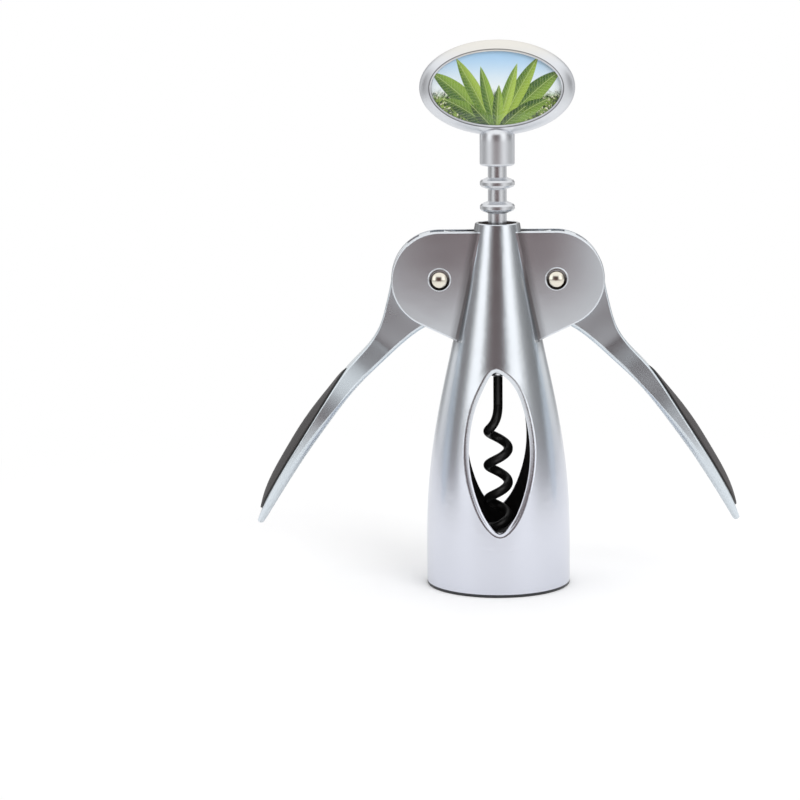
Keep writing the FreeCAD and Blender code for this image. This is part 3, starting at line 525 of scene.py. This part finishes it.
def across_oval(tree, where, width, height):
    """A place on the oval's face, divided by a width and a height."""
    return arrow(tree, X=calculate(tree, "DIVIDE", where["X"], width),
                 Y=calculate(tree, "DIVIDE", where["Z"], height))


handle, tree, shader, finish = plated("handle nickel", PEARL, PEARL_CLOUD, roughness=0.40, ripple=0.03)
where = handle_axes(tree)
in_front = ease(tree, where["Y"], *FRONT_DEPTH)
oval = measure(tree, "LENGTH", across_oval(tree, where, LIP_HALF_W, LIP_HALF_H))
rate = across_oval(tree, where, LIP_HALF_W ** 2, LIP_HALF_H ** 2)
off_lip = calculate(tree, "DIVIDE", product(tree, calculate(tree, "SUBTRACT", oval, 1.0), oval),
                    measure(tree, "LENGTH", rate))

# The rim's colour with a painted warm reflection on its top, and a painted shade line where the lip steps
# up from it.
step_shade = product(tree, ease(tree, calculate(tree, "ABSOLUTE", off_lip), *STEP_WIDTH), in_front, STEP_SHARE)
warmed_by_reflection = mixed(tree, ease(tree, where["Z"], *CREAM_REFLECTION_HEIGHT), finish["Colour"], CREAM_REFLECTION)
put(tree, mixed(tree, step_shade, warmed_by_reflection, STEP_SHADE), shader.inputs["Base Color"])

# The lip and the collar's shoulder are rounded, and the shoulder is smoother.
lip = product(tree, ease(tree, off_lip, *LIP_OUTER), ease(tree, off_lip, *LIP_INNER), in_front, LIP_LEAN)
shoulder = product(tree, ease(tree, where["Z"], *SHOULDER_TOP), ease(tree, where["Z"], *SHOULDER_FOOT),
                   ease(tree, calculate(tree, "ABSOLUTE", where["X"]), *SHOULDER_SIDE))
rough = calculate(tree, "MULTIPLY_ADD", shoulder, SHOULDER_SMOOTHER, finish["Roughness"])
put(tree, rough, shader.inputs["Roughness"])
outwards = add(tree, "SeparateXYZ", Vector=vector(tree, "NORMALIZE", rate)).outputs
rise = calculate(tree, "MULTIPLY_ADD", outwards["Y"], lip, product(tree, shoulder, SHOULDER_LEAN))
lean = arrow(tree, X=product(tree, outwards["X"], lip), Z=rise)
shaped = use(tree, leaning, Normal=finish["Normal"], Lean=lean)
put(tree, shaped["Normal"], shader.inputs["Normal"])
cover(handle, "handle_frame")

# ------------------------------------------------------------------ picture
# A printed oval card in the handle's recess. Its print is a spray of leaves that fans out from
# the foot over a pale blue ground; it is set a hair behind the dome that lies on it.

CARD_FRONT, CARD_BACK = -0.00292, -0.00250    # along the handle's own depth
CARD_HALF_W, CARD_HALF_H = 0.01865, 0.01050
CARD_BEVEL = 0.00012
SHARP = math.radians(60)         # edges sharper than this are bevelled

SKY, SKY_FOOT, SKY_HEIGHT = (0.46, 0.72, 0.98), (0.90, 0.97, 1.0), (0.0105, -0.001)
BUSH, BUSH_LIGHT, BUSH_MOTTLE = (0.012, 0.04, 0.008), (0.30, 0.45, 0.06), (0.40, 0.60)
BUSH_HEIGHT, BUSH_RAGGED = (0.0, -0.003), 0.006      # where the undergrowth ends, and how unevenly
BLOOM, BLOOM_PEAKS = (0.85, 0.82, 0.62), (0.60, 0.66)
LEAF_ROOT = (0.0, -0.0125)
DROOP = 14.0                     # how strongly the leaves bend down to the sides
LEAVES = [   # tip across and up, width for length, dark green, light green; the rear ones first
    (-0.0185, 0.0045, 0.16, (0.05, 0.14, 0.015), (0.26, 0.42, 0.05)),
    (0.0185, 0.0050, 0.16, (0.04, 0.12, 0.015), (0.22, 0.37, 0.04)),
    (-0.0115, 0.0085, 0.15, (0.09, 0.20, 0.02), (0.38, 0.54, 0.07)),
    (0.0120, 0.0088, 0.15, (0.08, 0.18, 0.02), (0.35, 0.51, 0.06)),
    (-0.0045, 0.0062, 0.17, (0.05, 0.14, 0.015), (0.28, 0.45, 0.05)),
    (0.0060, 0.0070, 0.16, (0.11, 0.23, 0.02), (0.43, 0.60, 0.09)),
    (-0.0150, -0.0030, 0.20, (0.02, 0.07, 0.01), (0.17, 0.31, 0.03)),
    (0.0150, -0.0030, 0.20, (0.02, 0.08, 0.01), (0.19, 0.34, 0.03)),
    (0.0008, 0.0010, 0.22, (0.03, 0.09, 0.01), (0.31, 0.48, 0.06)),
    (-0.0075, -0.0045, 0.26, (0.01, 0.045, 0.008), (0.12, 0.24, 0.02)),
    (0.0085, -0.0050, 0.26, (0.012, 0.05, 0.008), (0.14, 0.26, 0.025))]
LEAF_EDGE = (-0.00004, 0.00006)
LEAF_FOLD = (-0.0022, 0.0022)    # across a leaf, from its dark half to its light half
LEAF_MOTTLE, LEAF_MOTTLE_SHARE = (0.45, 0.7), 0.35
VEIN, VEIN_SHARE = (0.66, 0.78, 0.28), 0.6
MIDRIB = (0.00022, 0.00006)
SIDE_VEIN, SIDE_VEIN_SHARE = (0.75, 1.0), 0.45       # the crests of a wave that runs along the leaf
SIDE_VEIN_SLANT, SIDE_VEIN_CLOSENESS = -0.6, 5200.0
INK_ROUGHNESS, INK_SPREAD, INK_HEIGHT = 0.42, 0.15, 0.00002

bpy.ops.object.select_all(action="DESELECT")
bpy.ops.mesh.primitive_circle_add(vertices=128, radius=1.0, fill_type="NGON", location=(0, 0, 0),
                                  rotation=(math.radians(90), 0, 0))
card = bpy.context.object
card.name = "picture_card"
card.scale = (CARD_HALF_W, CARD_HALF_H, 1)
bpy.ops.object.transform_apply(location=False, rotation=True, scale=True)
bpy.ops.object.mode_set(mode="EDIT")
bpy.ops.mesh.select_all(action="SELECT")
bpy.ops.mesh.extrude_region_move(TRANSFORM_OT_translate={"value": (0, CARD_BACK - CARD_FRONT, 0)})
bpy.ops.mesh.select_all(action="SELECT")
bpy.ops.mesh.normals_make_consistent(inside=False)
bpy.ops.mesh.select_all(action="DESELECT")
bpy.ops.mesh.edges_select_sharp(sharpness=SHARP)
bpy.ops.mesh.bevel(offset=CARD_BEVEL, segments=2)
bpy.ops.object.mode_set(mode="OBJECT")
card.matrix_world = (Matrix.Rotation(HANDLE_TURN, 4, "Z")
                     @ Matrix.Translation((0, CARD_FRONT, PICTURE_Z)))
bpy.ops.object.transform_apply(location=True, rotation=True, scale=True)
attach(card, "spindle")
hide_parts("picture_disc")

# One leaf is where two large circles overlap; it gives its own area, its midrib and its side veins.
leaf, given, wanted = new_group(
    "leaf",
    [("Place", "Vector", (0, 0, 0)), ("Left", "Vector", (0, 0, 0)), ("Right", "Vector", (0, 0, 0)),
     ("Reach", "Float", 1.0), ("Root", "Vector", (0, 0, 0))],
    [("Inside", "Float"), ("Shade", "Float"), ("Vein", "Float")])
to_left = measure(leaf, "DISTANCE", given["Place"], given["Left"])
to_right = measure(leaf, "DISTANCE", given["Place"], given["Right"])
margin = calculate(leaf, "SUBTRACT", given["Reach"], calculate(leaf, "MAXIMUM", to_left, to_right))
put(leaf, ease(leaf, margin, *LEAF_EDGE), wanted["Inside"])
across = calculate(leaf, "SUBTRACT", to_left, to_right)
put(leaf, ease(leaf, across, *LEAF_FOLD), wanted["Shade"])
off_midrib = calculate(leaf, "ABSOLUTE", across)
along = calculate(leaf, "ADD", measure(leaf, "DISTANCE", given["Place"], given["Root"]),
                  product(leaf, off_midrib, SIDE_VEIN_SLANT))
wave = calculate(leaf, "SINE", product(leaf, along, SIDE_VEIN_CLOSENESS))
side_vein = product(leaf, ease(leaf, wave, *SIDE_VEIN), SIDE_VEIN_SHARE)
vein = calculate(leaf, "MAXIMUM", ease(leaf, off_midrib, *MIDRIB), side_vein)
put(leaf, vein, wanted["Vein"])

printed, tree, shader = new_material("print", Specular_IOR_Level=0.1)
where = handle_axes(tree)
bent = calculate(tree, "ADD", where["Z"], product(tree, where["X"], where["X"], DROOP))
on_card = arrow(tree, X=where["X"], Y=bent)
mottle = noise(tree, on_card, scale=900.0, detail=5.0, roughness=0.7)
ground = mixed(tree, ease(tree, where["Z"], *SKY_HEIGHT), SKY, SKY_FOOT)
bush = mixed(tree, ease(tree, mottle, *BUSH_MOTTLE), BUSH, BUSH_LIGHT)
blooms = noise(tree, on_card, scale=1500.0, detail=1.0)
bush = mixed(tree, ease(tree, blooms, *BLOOM_PEAKS), bush, BLOOM)
ragged = calculate(tree, "ADD", where["Z"], waver(tree, mottle, BUSH_RAGGED))
ground = mixed(tree, ease(tree, ragged, *BUSH_HEIGHT), ground, bush)
for tip_x, tip_y, width, dark, light in LEAVES:
    tip_y += DROOP * tip_x * tip_x
    along_x, along_y = tip_x - LEAF_ROOT[0], tip_y - LEAF_ROOT[1]
    length = math.hypot(along_x, along_y)
    half, sag = length / 2, width * length / 2
    reach = (half * half + sag * sag) / (2 * sag)
    middle = Vector(((tip_x + LEAF_ROOT[0]) / 2, (tip_y + LEAF_ROOT[1]) / 2, 0))
    across = Vector((-along_y, along_x, 0)) / length * (reach - sag)
    blade = use(tree, leaf, Place=on_card, Left=middle + across, Right=middle - across, Reach=reach,
                Root=(*LEAF_ROOT, 0))
    colour = mixed(tree, blade["Shade"], dark, light)
    colour = mixed(tree, product(tree, ease(tree, mottle, *LEAF_MOTTLE), LEAF_MOTTLE_SHARE), colour, light)
    colour = mixed(tree, product(tree, blade["Vein"], VEIN_SHARE), colour, VEIN)
    ground = mixed(tree, blade["Inside"], ground, colour)
put(tree, ground, shader.inputs["Base Color"])
ink = noise(tree, on_card, scale=6000.0, detail=1.0)
rough = calculate(tree, "MULTIPLY_ADD", ink, INK_SPREAD, INK_ROUGHNESS)
put(tree, rough, shader.inputs["Roughness"])
put(tree, bumped(tree, Strength=0.1, Distance=INK_HEIGHT, Height=ink), shader.inputs["Normal"])
card.data.materials.append(printed)

# ------------------------------------------------------------------ clear dome
# Resin that is poured over the print and sets to a shallow dome, which magnifies the print's
# edge. Light goes through it to the print.

POUR_ROUGHNESS, POUR_HEIGHT = 0.02, 0.0004


def blended(tree, share, first, second):
    """Ends a material with two shaders mixed by a share."""
    choice = add(tree, "MixShader", Fac=share)
    put(tree, first, choice.inputs[1])
    put(tree, second, choice.inputs[2])
    put(tree, choice.outputs["Shader"], tree.nodes["Material Output"].inputs["Surface"])


clear, tree, shader = new_material("clear resin", Base_Color=(1, 1, 1), IOR=1.49, Transmission_Weight=1.0)
pour = noise(tree, add(tree, "TexCoord").outputs["Object"], scale=120.0, detail=1.0)
rough = calculate(tree, "MULTIPLY_ADD", pour, POUR_ROUGHNESS, POUR_ROUGHNESS)
put(tree, rough, shader.inputs["Roughness"])
put(tree, bumped(tree, Strength=0.03, Distance=POUR_HEIGHT, Height=pour), shader.inputs["Normal"])
blended(tree, add(tree, "LightPath").outputs["Is Shadow Ray"], shader.outputs["BSDF"],
        add(tree, "BsdfTransparent").outputs["BSDF"])
cover(clear, "clear_dome")

# ------------------------------------------------------------------ table
# A round white table of painted board. It keeps the object's soft shadow and fades into the
# white room.

TABLE_R = 0.42
TABLE, TABLE_CLOUD = (0.95, 0.95, 0.955), (0.97, 0.97, 0.97)
FADE = (0.06, 0.26)              # how far out the table turns into the white of the room
WHITE = (1, 1, 1)


def either(tree, *rays):
    """1 where one of these kinds of ray is followed."""
    result = rays[0]
    for ray in rays[1:]:
        result = calculate(tree, "MAXIMUM", result, ray)
    return result


bpy.ops.object.select_all(action="DESELECT")
bpy.ops.mesh.primitive_circle_add(vertices=96, radius=TABLE_R, fill_type="NGON", location=(0, 0, 0))
table = bpy.context.object
table.name = "table"
painted, tree, shader = new_material("table white", Roughness=0.9)
place = add(tree, "TexCoord").outputs["Object"]
paint = noise(tree, place, scale=60.0, detail=4.0)
put(tree, mixed(tree, paint, TABLE, TABLE_CLOUD), shader.inputs["Base Color"])
rays = add(tree, "LightPath").outputs
seen = either(tree, rays["Is Camera Ray"], rays["Is Glossy Ray"], rays["Is Transmission Ray"])
share = product(tree, ease(tree, measure(tree, "LENGTH", place), *FADE), seen)
blended(tree, share, shader.outputs["BSDF"],
        add(tree, "Emission", Color=WHITE, Strength=1.0).outputs["Emission"])
table.data.materials.append(painted)

# ------------------------------------------------------------------ light
# A white room with a dark, warm wall in front and two tall soft lights in it. Its colours run
# round the compass, by degrees from the front with + to the right, above and below the horizon.

WALLS = [(-180, 0.95, 1.0, 1.0), (-170, 0.9, 1.0, 1.0), (-158, 0.3, 1.0, 1.0), (-146, 0.3, 1.0, 1.0),
         (-132, 0.92, 1.0, 1.0), (-122, 0.92, 1.0, 1.0), (-106, 0.28, 1.05, 1.0), (-82, 0.24, 1.05, 1.0),
         (-74, 0.5, 1.0, 1.0), (-65, 1.4, 1.0, 1.0), (-44, 1.5, 1.0, 1.0), (-35, 0.5, 1.0, 1.0),
         (-27, 0.17, 1.2, 0.97), (-15, 0.08, 1.5, 0.98), (4, 0.07, 1.5, 0.98), (14, 0.15, 1.2, 1.0),
         (21, 0.6, 0.97, 1.02), (29, 1.4, 1.0, 1.0), (48, 1.5, 1.0, 1.0), (60, 0.85, 1.0, 1.0),
         (70, 0.38, 1.0, 1.0), (88, 0.27, 1.0, 1.0), (103, 0.25, 1.0, 1.0), (120, 0.92, 1.0, 1.0),
         (132, 0.92, 1.0, 1.0), (146, 0.3, 1.0, 1.0), (158, 0.3, 1.0, 1.0), (170, 0.9, 1.0, 1.0),
         (180, 0.95, 1.0, 1.0)]   # degrees, light, its red and its blue
GROUND = [(-180, 0.95, 1.0, 1.0), (-152, 0.5, 1.0, 1.0), (-136, 0.75, 1.0, 1.0), (-110, 0.45, 1.0, 1.0),
          (-80, 0.5, 1.0, 1.0), (-52, 0.72, 1.0, 1.0), (-34, 0.40, 1.05, 1.0), (-20, 0.25, 1.25, 1.0),
          (-7, 0.125, 1.5, 1.0), (3, 0.14, 1.5, 1.0), (16, 0.27, 1.25, 1.0), (28, 0.42, 1.05, 1.0),
          (48, 0.78, 1.0, 1.0), (72, 0.85, 1.0, 1.0), (98, 0.62, 1.0, 1.0), (116, 0.6, 1.0, 1.0),
          (136, 0.85, 1.0, 1.0), (152, 0.5, 1.0, 1.0),
          (180, 0.95, 1.0, 1.0)]         # the same, below the horizon
CEILING = 1.15
BRIGHTEST = 1.5
CEILING_FROM, GROUND_FROM = (0.36, 0.62), (-0.01, -0.09)     # how steeply up and down they begin
BEHIND = (0.93, 0.98)            # how squarely a direction goes to the back
LAMP_PLACE, LAMP_AIM = (0.55, -0.85, 0.50), (0, 0, 0.08)
LAMP_WIDTH, LAMP_WATTS = 0.7, 5.0

world = bpy.data.worlds.new("room")
bpy.context.scene.world = world
world.use_nodes = True
tree = world.node_tree
background = tree.nodes["Background"]
way = add(tree, "SeparateXYZ", Vector=add(tree, "TexCoord").outputs["Generated"]).outputs
compass = calculate(tree, "ARCTAN2", way["X"], product(tree, way["Y"], -1.0))
turn = calculate(tree, "MULTIPLY_ADD", compass, 0.5 / math.pi, 0.5)      # 0 to 1 round the room


def round_the_room(tree, turn, stops):
    """The light at each compass direction, as shares of the brightest."""
    node = add(tree, "ValToRGB", Fac=turn)
    ramp = node.color_ramp
    ramp.interpolation = "EASE"
    while len(ramp.elements) < len(stops):
        ramp.elements.new(0.5)
    for element, (degrees, light, red, blue) in zip(ramp.elements, stops):
        element.position = degrees / 360 + 0.5
        level = light / BRIGHTEST
        element.color = (level * red, level, level * blue, 1)
    return node.outputs["Color"]


full = (CEILING / BRIGHTEST, CEILING / BRIGHTEST, CEILING / BRIGHTEST)
above = mixed(tree, ease(tree, way["Z"], *CEILING_FROM), round_the_room(tree, turn, WALLS), full)
room = mixed(tree, ease(tree, way["Z"], *GROUND_FROM), above, round_the_room(tree, turn, GROUND))
lit = tree.nodes.new("ShaderNodeVectorMath")
lit.operation = "SCALE"
put(tree, room, lit.inputs[0])
lit.inputs["Scale"].default_value = BRIGHTEST
rays = add(tree, "LightPath").outputs
behind = product(tree, rays["Is Glossy Ray"], ease(tree, way["Y"], *BEHIND))
seen = either(tree, rays["Is Camera Ray"], rays["Is Transmission Ray"], behind)
put(tree, mixed(tree, seen, lit.outputs["Vector"], WHITE), background.inputs["Color"])
background.inputs["Strength"].default_value = 1.0

# A soft front light for what isn't metal; metal and resin show the room alone.
bpy.ops.object.light_add(type="AREA", location=LAMP_PLACE)
lamp = bpy.context.object
lamp.name = "front_light"
lamp.data.size = LAMP_WIDTH
lamp.data.energy = LAMP_WATTS
lamp.rotation_euler = (Vector(LAMP_AIM) - lamp.location).to_track_quat("-Z", "Y").to_euler()
lamp.visible_glossy = False
lamp.visible_transmission = False

# ------------------------------------------------------------------ camera
# It stands a little to the left of the middle, turned a little further left, and looks down by
# about ten degrees.

CAMERA_PLACE = (-0.0200, -0.7857, 0.18887)
TURN, TILT, ROLL = -0.63, 9.7, 0.54      # degrees
LENS, SENSOR = 122.67, 36.0              # millimetres

camera_data = bpy.data.cameras.new("camera")
camera = bpy.data.objects.new("camera", camera_data)
bpy.context.scene.collection.objects.link(camera)
camera_data.sensor_width = SENSOR
camera_data.lens = LENS
camera.matrix_world = (Matrix.Translation(Vector(CAMERA_PLACE))
                       @ Matrix.Rotation(math.radians(-TURN), 4, "Z")
                       @ Matrix.Rotation(math.radians(90 - TILT), 4, "X")
                       @ Matrix.Rotation(math.radians(-ROLL), 4, "Z"))
bpy.context.scene.camera = camera
bpy.context.scene.view_settings.view_transform = "Standard"
